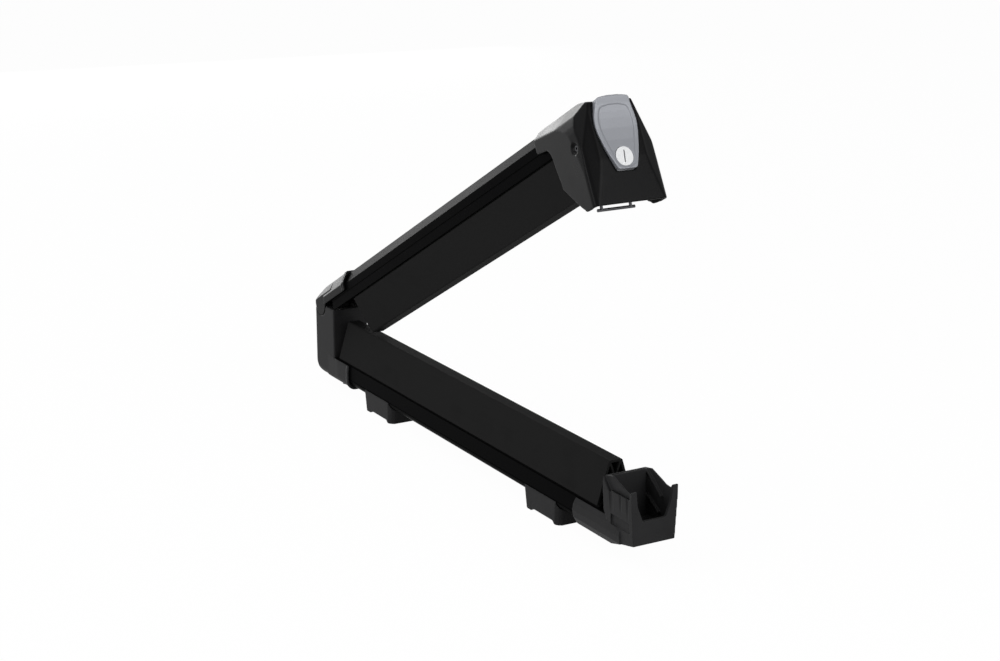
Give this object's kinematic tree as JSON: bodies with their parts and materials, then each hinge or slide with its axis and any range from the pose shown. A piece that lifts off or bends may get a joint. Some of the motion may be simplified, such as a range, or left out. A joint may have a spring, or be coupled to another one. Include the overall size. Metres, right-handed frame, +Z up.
{
  "type": "roof ski carrier",
  "caption": "Clamp-style ski and board carrier: a lower rubber-lined bar on sliding feet, a lifting hinge and an upper rubber-lined arm with a lockable push-button latch.",
  "frame": {"origin": "middle of the carrier's footprint, on the roof bar's top where the feet stand", "axes": "+X along the bar from the hinge to the latch, +Y across, +Z up"},
  "size_m": [0.747, 0.0848, 0.4656],
  "materials": {
    "rail_anodised": "black anodised extrusion, satin",
    "rubber_black": "matt black extruded rubber",
    "plastic_black": "fine matt grain, black",
    "plastic_satin": "satin black moulding",
    "button_silver": "satin silver-grey",
    "lock_steel": "bright lock face",
    "steel_dark": "dark zinc steel",
    "steel_zinc": "zinc-plated steel",
    "bush_bronze": "plain bearing bronze"
  },
  "bodies": {
    "base": {"lower_rail": "rail_anodised", "lower_rubber": "rubber_black", "hinge_bracket": "plastic_black", "bracket_screws": "steel_dark", "receiver": "plastic_black", "receiver_screws": "steel_dark"},
    "rear_slider": {"rear_foot": "plastic_black", "rear_slot_nut": "steel_zinc", "rear_foot_screws": "steel_dark"},
    "front_slider": {"front_foot": "plastic_black", "front_slot_nut": "steel_zinc", "front_foot_screws": "steel_dark"},
    "lift_carriage": {"lift_link": "plastic_black", "link_bush": "bush_bronze"},
    "arm": {"upper_rail": "rail_anodised", "upper_rubber": "rubber_black", "hinge_cover": "plastic_satin", "hinge_pin": "steel_zinc", "cover_screws": "steel_dark", "latch_housing": "plastic_satin", "housing_screws": "steel_dark", "latch_pin": "steel_dark", "lever_springs": "steel_zinc"},
    "button": {"release_button": "button_silver", "lock_barrel": "lock_steel"},
    "lock": {"lock_plug": "lock_steel", "lock_cam": "steel_zinc", "cam_screw": "steel_dark"},
    "catch": {"latch_lever": "steel_zinc", "catch_bar": "steel_dark"}
  },
  "joints": [
    {"name": "rear_foot_slide", "type": "slide", "parent": "base", "child": "rear_slider", "axis": [1, 0, 0], "range_m": [-0.028, 0.08]},
    {"name": "front_foot_slide", "type": "slide", "parent": "base", "child": "front_slider", "axis": [1, 0, 0], "range_m": [-0.08, 0.028]},
    {"name": "pivot_lift", "type": "slide", "parent": "base", "child": "lift_carriage", "axis": [0.2193, 0, 0.9757], "range_m": [0, 0.05503]},
    {"name": "arm_hinge", "type": "hinge", "parent": "lift_carriage", "child": "arm", "pos_m": [-0.3565, 0, 0.107], "axis": [0, 1, 0], "range_deg": [0, 28.3]},
    {"name": "button_press", "type": "slide", "parent": "arm", "child": "button", "axis": [0.8805, 0, 0.4741], "range_m": [-0.004, 0], "stiffness_N_per_m": 1500, "springref_m": 0.003},
    {"name": "lock_turn", "type": "hinge", "parent": "button", "child": "lock", "pos_m": [0.30096, 0, 0.40467], "axis": [0.8805, 0, 0.4741], "range_deg": [-90, 0]},
    {"name": "catch_swing", "type": "hinge", "parent": "arm", "child": "catch", "pos_m": [0.2806, 0, 0.41506], "axis": [0, 1, 0], "range_deg": [-12.1, 0]}
  ],
  "couplings": [
    {"joint": "pivot_lift", "follows": "arm_hinge", "m_per_rad": 0.11081},
    {"joint": "catch_swing", "follows": "button_press", "rad_per_m": 52.36}
  ]
}
